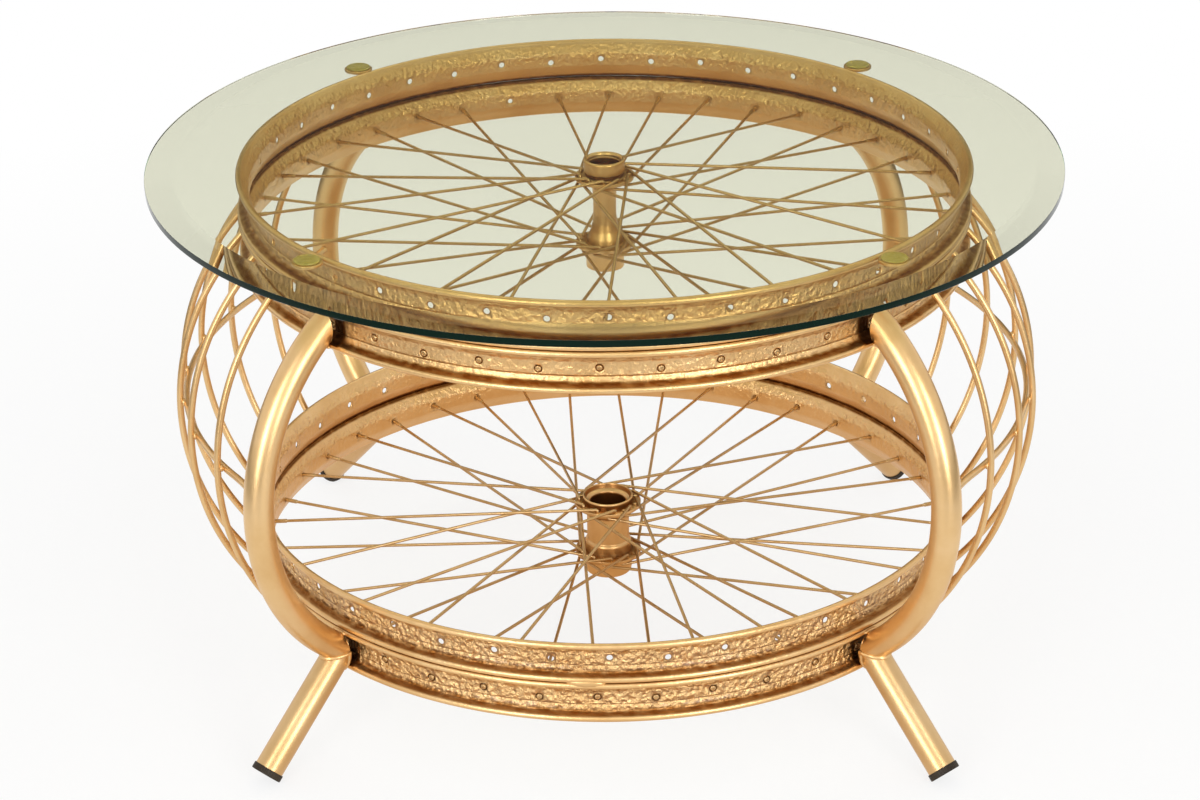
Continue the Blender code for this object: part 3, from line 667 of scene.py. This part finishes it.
# A set of spokes from one flange: a path in the upright plane of each spoke goes up through the flange hole,
# bends over and runs straight to the rim; circles across it take the widths of head, wire and nipple
def makeSpokes(name, node, hub, first):
    holes = np.array([k for k in range(first, rimShape["holes"], 2) if k not in hub["missing"]])
    total = len(holes)
    sign = np.where((holes % 4 == 0) | (holes % 4 == 3), 1, -1) * hub["flip"]
    rimAngle = np.radians(360 / rimShape["holes"] * holes - hub["turn"])
    hubAngle = rimAngle + np.radians(spokeShape["cross"]) * sign
    holeHeight = np.where(holes % 2 == 0, 1, -1) * rimShape["stagger"]
    foot = polar(hub["circle"], hubAngle, 0.0)[:, :2]
    tip = polar(rimShape["wellOuter"] - rimShape["nippleDimple"], rimAngle, 0.0)[:, :2]
    run = np.linalg.norm(tip - foot, axis=1)
    ahead = (tip - foot) / run[:, None]
    half = spokeShape["flange"] / 2
    bend = np.radians(np.linspace(0, 90, spokeShape["bendSteps"]))
    shank = len(spokeShape["headDepth"]) + 1  # points of the head and of the wire in the flange
    hooked = shank + len(bend)
    hookU = np.concatenate([np.zeros(shank), spokeShape["bend"] * (1 - np.cos(bend))])
    hookW = np.concatenate([-half - spokeShape["headDepth"], [half],
                            half + spokeShape["bendGap"] + spokeShape["bend"] * np.sin(bend)])
    wireR = np.full(1 + len(bend) + len(spokeShape["wirePlace"]), spokeShape["radius"])
    radii = np.concatenate([spokeShape["headRadius"], wireR, spokeShape["nippleRadius"]])
    straightT = np.concatenate([spokeShape["wirePlace"], spokeShape["nipplePlace"]])
    hookHeight = hub["flanges"][first] + sign[:, None] * hookW[None]
    slope = (holeHeight - hookHeight[:, -1]) / (run - hookU[-1])
    alongU = run[:, None] + straightT[None]
    alongHeight = holeHeight[:, None] + slope[:, None] * straightT[None]
    pathU = np.concatenate([np.broadcast_to(hookU, (total, hooked)), alongU], axis=1)
    pathZ = np.concatenate([hookHeight, alongHeight], axis=1) + hub["height"]
    middle = np.concatenate([foot[:, None] + ahead[:, None] * pathU[..., None], pathZ[..., None]], axis=-1)
    # Directions along the path are fixed by its parts, so that the steps of head and nipple stay square to it
    along = np.repeat(unit(np.concatenate([ahead, slope[:, None]], axis=1))[:, None], pathU.shape[1], axis=1)
    upright = np.stack([np.zeros(total), np.zeros(total), sign * 1.0], axis=-1)[:, None]
    flat = np.concatenate([ahead, np.zeros((total, 1))], axis=1)[:, None]
    along[:, :shank] = upright
    along[:, shank:hooked] = np.cos(bend)[None, :, None] * upright + np.sin(bend)[None, :, None] * flat
    side = np.stack([-ahead[:, 1], ahead[:, 0], np.zeros(total)], axis=-1)[:, None]
    out = np.cross(side, along)
    turn = fullTurn(spokeShape["sides"])[None, None, :, None]
    across = np.cos(turn) * out[:, :, None] + np.sin(turn) * side[:, :, None]
    points = middle[:, :, None] + radii[None, :, None, None] * across
    one = tubeFaces(len(radii), spokeShape["sides"])
    faces = repeatFaces(one, total, len(radii) * spokeShape["sides"])
    makePiece(name, points, faces, wireGold, node, sharp=50.0)


for tier, hub in hubs.items():
    for first, flange in enumerate(("upper", "lower")):
        makeSpokes("spokes_" + tier + "_" + flange, tier + "_wheel_" + flange + "_spokes", hub, first)
print("spokes made")


# Legs, feet and caps, first made in the plane y = 0 and then turned to their corners

legShape = {"radius": 0.0127, "bulge": 0.3996, "upperCut": 0.3221, "lowerCut": 0.3219, "low": 0.0975,
            "high": 0.400, "clear": 0.0002, "near": 0.02, "rings": 90, "sides": 40}
footShape = {"slope": 45.0, "rimClear": 0.3224, "rings": 16, "search": 0.06, "halvings": 40}
footWeld = {"seed": 301, "radius": 0.0021, "uneven": 0.16, "cells": (26, 2), "past": 0.0002, "thin": 0.8,
            "wide": 1.3, "rings": 96, "sides": 10}
capShape = {"radius": 0.0137, "thick": 0.006, "flat": 0.001, "hollow": 0.0098, "neck": 0.0112, "tip": 0.0106,
            "top": 0.008, "cuts": [0.0004, 0.0009, 0.0006, 0.0002, 0.0002, 0.0002], "cutSteps": 5,
            "ribs": 40, "ribDepth": 0.00016, "ribFrom": (0.0131, 0.0004), "ribFade": (0.0004, 0.0008),
            "sides": 160}


# A leg: circles along an arc from rim to rim, the end circles slid along the tube onto upright planes
def legPoints():
    reach = np.array([legShape["lowerCut"], legShape["upperCut"]])
    centre, arc, swing = bulgedArc(reach.min(), legShape["low"], legShape["high"], legShape["bulge"])
    path, along = arcPath(centre, arc, np.linspace(-swing, swing, legShape["rings"]))
    rings = sweptTube(path, legShape["radius"], (0, 1, 0), legShape["sides"])
    ends = rings[[0, -1]]
    slide = (reach[:, None] - ends[..., 0]) / along[[0, -1], None, 0]
    rings[[0, -1]] = ends + slide[..., None] * along[[0, -1], None]
    clear = reach.max() + legShape["clear"]
    body = rings[1:-1, :, 0]
    inside = (body < clear) & (np.abs(body - reach[0]) < legShape["near"])
    rings[1:-1, :, 0] = np.where(inside, clear, body)
    return rings, centre, arc


# A foot's straight line: where it starts and ends, its direction and the direction square to it
def footAxis():
    slope = math.radians(footShape["slope"])
    along = np.array([math.cos(slope), 0, -math.sin(slope)])
    normal = np.array([math.sin(slope), 0, math.cos(slope)])
    start = np.array([legShape["lowerCut"], 0, legShape["low"]])
    sole = capShape["radius"] * normal[2] - capShape["flat"]
    return start, start + along * (sole - start[2]) / along[2], along, normal


legRings, legCentre, legArc = legPoints()
footStart, footEnd, footAlong, footNormal = footAxis()


# Directions square to the foot's line, by angle
def footAcross(turn):
    return np.cos(turn)[:, None] * footNormal + np.sin(turn)[:, None] * np.array([0, 1, 0])


# Where lines along the foot tube come out of the leg: the step that leaves the leg's round, found by halving
def footSaddle(turn):
    line = footStart + legShape["radius"] * footAcross(turn)
    near = np.zeros(len(turn))
    far = np.full(len(turn), footShape["search"])
    for halving in range(footShape["halvings"]):
        middle = (near + far) / 2
        spot = line + middle[:, None] * footAlong
        ring = np.hypot(spot[:, 0] - legCentre[0], spot[:, 2] - legCentre[2]) - legArc
        within = np.hypot(ring, spot[:, 1]) < legShape["radius"]
        near = np.where(within, middle, near)
        far = np.where(within, far, middle)
    clear = (footShape["rimClear"] - line[:, 0]) / footAlong[0]
    return line, np.maximum(near, clear)


# A foot tube: circles down a straight line, the first ring shaped to the leg and the rim
def footPoints():
    line, begin = footSaddle(fullTurn(legShape["sides"]))
    stop = np.dot(footEnd - footStart, footAlong) - capShape["thick"]
    share = np.linspace(0, 1, footShape["rings"])[:, None]
    step = begin[None] * (1 - share) + stop * share
    return line[None] + step[..., None] * footAlong


# The weld round a foot's top: a bead of small circles along the line where foot and leg meet, uneven in size
def footWeldPoints(seed):
    count = footWeld["rings"]
    turn = fullTurn(count)
    line, begin = footSaddle(turn)
    path = line + (begin + footWeld["past"])[:, None] * footAlong
    uneven = latticeNoise(turn / (2 * math.pi), np.zeros(count), *footWeld["cells"], seed)
    size = footWeld["radius"] * (1 + footWeld["uneven"] * uneven)
    way = fullTurn(footWeld["sides"])[None, :, None]
    ring = np.cos(way) * footAcross(turn)[:, None] * footWeld["thin"]
    ring = ring + np.sin(way) * footAlong * footWeld["wide"]
    return path[:, None] + size[:, None, None] * ring


# A cap: a turned profile about the foot's line, ribbed on its side and flat where it stands on the floor
def capPoints():
    radius, thick, top = capShape["radius"], capShape["thick"], capShape["top"]
    corners = [(capShape["hollow"], 0.0), (radius, 0.0), (radius, thick), (capShape["neck"], thick),
               (capShape["tip"], top), (capShape["hollow"], top)]
    profile = softCorners(corners, capShape["cuts"], capShape["cutSteps"], closed=False)
    turn = fullTurn(capShape["sides"])
    edge = np.clip((profile - capShape["ribFrom"]) / capShape["ribFade"], 0, 1).prod(axis=1)
    ribs = capShape["ribDepth"] * edge[:, None] * (np.cos(capShape["ribs"] * turn)[None] - 1)
    outward = (profile[:, :1] + ribs)[..., None] * footAcross(turn)[None]
    points = footEnd - profile[:, 1][:, None, None] * footAlong + outward
    points[..., 2] = np.maximum(points[..., 2], 0.0)
    return points


footRings = footPoints()
capRings = capPoints()
weldFaces = gridQuads(footWeld["rings"], footWeld["sides"], True, True).tolist()
for order, (corner, degrees) in enumerate(legAngles.items()):
    makeTube("leg_tube_" + corner, turnZ(legRings, degrees), tubeGold, "leg_" + corner)
    makeTube("foot_" + corner, turnZ(footRings, degrees), footGold, "foot_tube_" + corner)
    makeTube("end_cap_" + corner, turnZ(capRings, degrees), capPlastic, "foot_cap_" + corner,
             slotName="black_plastic")
    weldRings = turnZ(footWeldPoints(footWeld["seed"] + order), degrees)
    makePiece("foot_weld_" + corner, weldRings, weldFaces, tubeGold, sharp=80.0)
print("legs, feet and caps made")


# Side cages

rodShape = {"radius": 0.0030, "end": 0.3175, "low": 0.0875, "high": 0.4100, "bulge": 0.3838, "overrun": 1.004,
            "pitch": 10.5, "count": 7, "rings": 56, "sides": 12}
hoopShape = {"height": 0.257, "endAngle": 43.55, "flare": 9.0, "endRadius": 0.3900, "rings": 120}
rodCentre, rodArc, rodSwing = bulgedArc(rodShape["end"], rodShape["low"], rodShape["high"], rodShape["bulge"])
rodTurns = [rodShape["pitch"] * (i - (rodShape["count"] - 1) / 2) for i in range(rodShape["count"])]
rodAtHoop = rodCentre[0] + math.sqrt(rodArc ** 2 - (hoopShape["height"] - rodCentre[2]) ** 2)
hoopInside = rodAtHoop - 2 * rodShape["radius"]


# A cage rod: circles along an arc from the lower wheel's rim to the upper one's
def rodPoints():
    swing = rodSwing * rodShape["overrun"]
    path = arcPath(rodCentre, rodArc, np.linspace(-swing, swing, rodShape["rings"]))[0]
    return sweptTube(path, rodShape["radius"], (0, 1, 0), rodShape["sides"])


# A hoop: circles along a level arc inside the rods that runs out to a leg at each end
def hoopPoints():
    end, flare = hoopShape["endAngle"], hoopShape["flare"]
    degrees = np.linspace(-end, end, hoopShape["rings"])
    rise = np.clip((np.abs(degrees) - end + flare) / flare, 0, 1) ** 2
    radius = hoopInside + (hoopShape["endRadius"] - hoopInside) * rise
    path = polar(radius, np.radians(degrees), hoopShape["height"])
    return sweptTube(path, rodShape["radius"], (0, 0, 1), rodShape["sides"])


rodRings = rodPoints()
hoopRings = hoopPoints()
for side, middle in (("right", 0), ("left", 180)):
    for number, degrees in enumerate(rodTurns, 1):
        rodName = side + "_" + str(number)
        makeTube("rod_" + rodName, turnZ(rodRings, middle + degrees), tubeGold, "cage_rod_" + rodName)
    makeTube("hoop_" + side, turnZ(hoopRings, middle), tubeGold, "cage_hoop_" + side)
print("cages made")


# Welds

# Half sizes of each kind of lump along the radial, round and upright ways, and where the kinds sit
weldShape = {
    "rows": 7, "sides": 12, "pole": 78, "dent": 0.14, "dentCells": (6, 37), "dentStep": 0.37,
    "rodEnd": (0.0030, 0.0046, 0.0026), "rodInset": 0.0008, "rodPast": 0.0005,
    "rodHoop": (0.0024, 0.0036, 0.0036),
    "legLip": (0.0020, 0.0085, 0.0024), "lipRadius": 0.3222, "lip": 0.0160,
    "hoopEnd": (0.0030, 0.0030, 0.0036), "hoopRadius": 0.3890, "hoopTurn": 1.5,
    "tackRadius": 0.3197, "tacks": [(-92.5, (0.0030, 0.0160, 0.0040)), (88.0, (0.0030, 0.0150, 0.0040))],
}


# Weld lumps: balls stretched along the radial, round and upright ways at each spot, dented by smooth noise
# A spot is radius, angle in degrees, height, and the three half sizes
def makeWelds(name, spots, seed):
    spot = np.array(spots, float)
    rows = weldShape["rows"]
    sides = weldShape["sides"]
    lat = np.radians(np.linspace(-weldShape["pole"], weldShape["pole"], rows))
    lon = fullTurn(sides)
    ball = np.stack([np.cos(lat)[:, None] * np.cos(lon)[None], np.cos(lat)[:, None] * np.sin(lon)[None],
                     np.sin(lat)[:, None] + np.zeros((1, sides))], axis=-1)
    u = lon[None, None] / (2 * math.pi) + np.zeros((len(spot), rows, 1))
    shift = weldShape["dentStep"] * np.arange(len(spot))[:, None, None]  # each lump has its own noise
    v = (lat[None, :, None] / math.pi + 0.5) * 0.5 + shift
    dent = 1 + weldShape["dent"] * latticeNoise(u, v, *weldShape["dentCells"], seed)
    local = ball[None] * dent[..., None] * spot[:, None, None, 3:6]
    angle = np.radians(spot[:, 1])
    radial = polar(1.0, angle, 0.0)[:, None, None]
    around = np.stack([-np.sin(angle), np.cos(angle), np.zeros_like(angle)], axis=-1)[:, None, None]
    upright = np.array([0, 0, 1.0])
    centre = radial * spot[:, None, None, :1] + upright * spot[:, None, None, 2:3]
    points = centre + radial * local[..., :1] + around * local[..., 1:2] + upright * local[..., 2:3]
    faces = repeatFaces(tubeFaces(rows, sides), len(spot), rows * sides)
    makePiece(name, points, faces, tubeGold, sharp=80.0)


rodSpots = []
for middle in (0, 180):
    for degrees in rodTurns:
        angle = middle + degrees
        for height in (rodShape["low"] - weldShape["rodPast"], rodShape["high"] + weldShape["rodPast"]):
            rodSpots.append((rodShape["end"] - weldShape["rodInset"], angle, height, *weldShape["rodEnd"]))
        rodSpots.append((hoopInside + rodShape["radius"], angle, hoopShape["height"], *weldShape["rodHoop"]))
makeWelds("rod_welds", rodSpots, seed=401)
legSpots = []
for degrees in legAngles.values():
    for height in (legShape["low"], legShape["high"]):
        for lip in (-weldShape["lip"], weldShape["lip"]):
            legSpots.append((weldShape["lipRadius"], degrees, height + lip, *weldShape["legLip"]))
    # The side on which the hoop meets the leg
    inward = weldShape["hoopTurn"] * (1 if degrees in (-45, 135) else -1)
    legSpots.append((weldShape["hoopRadius"], degrees + inward, hoopShape["height"], *weldShape["hoopEnd"]))
makeWelds("leg_welds", legSpots, seed=402)
tackHeight = (middleHeight("lower_plain_rim") + middleHeight("lower_spoked_rim")) / 2
tackSpots = [(weldShape["tackRadius"], turn, tackHeight, *size) for turn, size in weldShape["tacks"]]
makeWelds("rim_tacks", tackSpots, seed=403)
print("welds made")


# Tabs, pads and glass

discShape = {"out": 0.3347, "centre": 0.0004, "cutSteps": 6, "sides": 48}
discs = {
    "tab": {"radius": 0.0130, "cut": 0.0006, "dome": 0.0, "look": tubeGold, "slot": "gold_paint"},
    "pad": {"radius": 0.0110, "cut": 0.0005, "dome": 0.0002, "look": padRubber, "slot": "clear_pad"},
}
glassShape = {"radius": 0.4000, "thick": 0.0090, "bevel": 0.0254, "drop": 0.0030, "arris": 0.0005,
              "rings": (0.0020, 0.150, 0.300), "sides": 256, "sharp": 2.2}


# A disc with rounded rims: a profile that starts under it near the axis and ends above it, carried round
def discPoints(node, disc, spot):
    low, high = (corner.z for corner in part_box(node))
    centre, radius, dome = discShape["centre"], disc["radius"], disc["dome"]
    corners = [(centre, low), (radius, low), (radius, high - dome), (centre, high - dome)]
    profile = softCorners(corners, disc["cut"], discShape["cutSteps"], closed=False)
    crown = (profile[:, 1] - low) / (high - low) > 0.5
    profile[:, 1] += dome * (1 - (profile[:, 0] / radius) ** 2) * crown
    return turned(profile, discShape["sides"], spot)


for corner, degrees in legAngles.items():
    spot = polar(discShape["out"], math.radians(degrees), 0.0)
    for kind, disc in discs.items():
        name = kind + "_" + corner
        rings = discPoints("glass_" + name, disc, spot)
        makeTube(name, rings, disc["look"], "glass_" + name, slotName=disc["slot"])


# The glass profile: flat under side, arris, upright edge, bevel and flat top; the edge's points are marked
def glassProfile():
    radius, thick, arris = glassShape["radius"], glassShape["thick"], glassShape["arris"]
    edgeTop = thick - glassShape["drop"]
    slope = glassShape["drop"] / glassShape["bevel"]
    under = [(ring, 0) for ring in glassShape["rings"]] + [(radius - 1.2 * arris, 0)]
    edge = [(radius - arris, 0), (radius, arris)]
    edge += [(radius, edgeTop - arris / 4), (radius - arris / 4, edgeTop)]
    over = [(radius - arris / 2, edgeTop + slope * arris / 4), (radius - glassShape["bevel"], thick)]
    over += [(ring, thick) for ring in glassShape["rings"][::-1]]
    marked = np.concatenate([np.zeros(len(under)), np.ones(len(edge)), np.zeros(len(over))])
    return np.array(under + edge + over), marked


profile, marked = glassProfile()
rings = turned(profile, glassShape["sides"], (0, 0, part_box("glass_top")[0].z))
makeTube("glass_disc", rings, tableGlass, "glass_top", slotName="clear_glass", body="glass",
         sharp=glassShape["sharp"], marks={"edge": np.repeat(marked, glassShape["sides"])})
print("tabs, pads and glass made")


# Studio: floor, world, lamps and camera; a reach is the span over which a value changes to its next
studio = {
    "floorSize": 14.0, "floorColour": (0.90, 0.90, 0.89, 1), "floorNear": 0.80, "floorFar": 1.0,
    "floorReach": (0.55, 1.5), "glossShadeUnder": (0.70, 0.46, 0.26, 1), "underReach": (0.20, 0.50),
    "glossNear": 0.96, "glossFar": 0.10, "glossReach": (1.31, 1.40),
    "sky": 0.96, "skyPatch": 0.06, "patch": (0.0, 0.93, 0.37), "patchReach": (0.82, 0.965),
    "overhead": 0.74, "overheadReach": (0.25, 0.85), "skySeen": 1.0,
    "boxes": [((-1.05, -2.25, 0.95), (0.70, 1.6), 21.0), ((1.25, -2.20, 0.95), (0.70, 1.6), 23.0),
              ((0.0, 2.60, 3.6), (3.4, 0.9), 18.0)],
    "aim": (0.0, 0.0, 0.40),
}
white = (1, 1, 1, 1)


# Whether a ray comes from the camera, or straight through glass with no mirrored turn on its way
def seenRay(add):
    path = add("LightPath").outputs
    straight = joinValues(add, "SUBTRACT", path["Is Transmission Ray"], path["Glossy Depth"], clamp=True)
    return joinValues(add, "MAXIMUM", path["Is Camera Ray"], straight)


# The floor: white to the eye and through glass, with some of the shadow near the table; to metal it is white
# in a wide ring, warm and dim under the table as a painted shadow of the table with painted gold bounce
# light, and dim far off
def makeFloor():
    half = studio["floorSize"] / 2
    mesh = bpy.data.meshes.new("studio_floor")
    corners = [(-half, -half, 0), (half, -half, 0), (half, half, 0), (-half, half, 0)]
    mesh.from_pydata(corners, [], [(0, 1, 2, 3)])
    look, shader, add, place = newLook("floor_white")
    nodes = look.node_tree.nodes
    nodes.remove(shader)
    matt = add("BsdfDiffuse", Color=studio["floorColour"])
    glow = add("Emission", Color=white, Strength=1.0)
    span = add("VectorMath")
    span.operation = "LENGTH"
    feed(span, {0: place})
    radius = span.outputs["Value"]
    far = mapValue(add, radius, *studio["floorReach"], studio["floorNear"], studio["floorFar"])
    share = joinValues(add, "MULTIPLY", far, seenRay(add))
    seen = mixShaders(add, share, matt.outputs[0], glow.outputs[0])
    # Painted shadow of the table with painted gold bounce light, warm and dim under it, as metal sees the
    # floor
    outward = mapValue(add, radius, *studio["underReach"], 0.0, 1.0)
    colour = mixColours(add, outward, studio["glossShadeUnder"], white)
    strength = mapValue(add, radius, *studio["glossReach"], studio["glossNear"], studio["glossFar"])
    mirrored = add("Emission", Color=colour, Strength=strength)
    path = add("LightPath").outputs  # a ray through glass may also count as glossy
    gloss = joinValues(add, "SUBTRACT", path["Is Glossy Ray"], path["Is Transmission Ray"], clamp=True)
    surface = mixShaders(add, gloss, seen, mirrored.outputs[0])
    feed(nodes["Material Output"], {"Surface": surface})
    mesh.materials.append(look)
    putObject("studio_floor", mesh)


# The world: white to the eye; as light it is dimmer overhead, and dim in the part that the table top mirrors
def makeWorld():
    world = bpy.data.worlds.new("studio_world")
    world.use_nodes = True
    bpy.context.scene.world = world
    nodes = world.node_tree.nodes
    add = nodeAdder(world)
    direction = add("TexCoord").outputs["Generated"]
    toward = add("VectorMath")
    toward.operation = "DOT_PRODUCT"
    feed(toward, {0: direction, 1: studio["patch"]})
    nearness = toward.outputs["Value"]
    patch = mapValue(add, nearness, *studio["patchReach"], studio["sky"], studio["skyPatch"])
    rise = add("SeparateXYZ", Vector=direction).outputs["Z"]
    above = mapValue(add, rise, *studio["overheadReach"], 1.0, studio["overhead"])
    light = nodes["Background"]
    feed(light, {"Color": white, "Strength": joinValues(add, "MULTIPLY", patch, above)})
    seen = add("Background", Color=white, Strength=studio["skySeen"])
    surface = mixShaders(add, seenRay(add), light.outputs[0], seen.outputs[0])
    feed(nodes["World Output"], {"Surface": surface})


def makeLamps():
    for number, (spot, size, power) in enumerate(studio["boxes"], 1):
        name = "soft_box_" + str(number)
        lamp = bpy.data.lights.new(name, "AREA")
        lamp.shape = "RECTANGLE"
        lamp.size, lamp.size_y = size
        lamp.energy = power
        holder = putObject(name, lamp)
        holder.location = spot
        ahead = Vector(studio["aim"]) - Vector(spot)
        holder.rotation_euler = ahead.to_track_quat("-Z", "Y").to_euler()


# Angles in radians, lens and sensor in millimetres
view = {"spot": (0.04306, -2.46690, 1.39436), "yaw": -0.01995, "pitch": 0.4426, "roll": -0.0119,
        "lens": 89.93, "sensor": 36.0}


def makeCamera():
    yaw, pitch, roll = view["yaw"], view["pitch"], view["roll"]
    ahead = Vector((math.sin(yaw) * math.cos(pitch), math.cos(yaw) * math.cos(pitch), -math.sin(pitch)))
    right = Vector((math.cos(yaw), -math.sin(yaw), 0))
    up = right.cross(ahead)
    acrossAxis = math.cos(roll) * right + math.sin(roll) * up
    upAxis = -math.sin(roll) * right + math.cos(roll) * up
    camera = bpy.data.cameras.new("photo_camera")
    camera.sensor_fit = "HORIZONTAL"
    camera.sensor_width = view["sensor"]
    camera.lens = view["lens"]
    holder = putObject("photo_camera", camera)
    columns = zip(acrossAxis, upAxis, -ahead, view["spot"])
    holder.matrix_world = Matrix((*columns, (0, 0, 0, 1)))
    bpy.context.scene.camera = holder


makeFloor()
makeWorld()
makeLamps()
makeCamera()
bpy.context.scene.view_settings.view_transform = "Standard"
print("studio made")
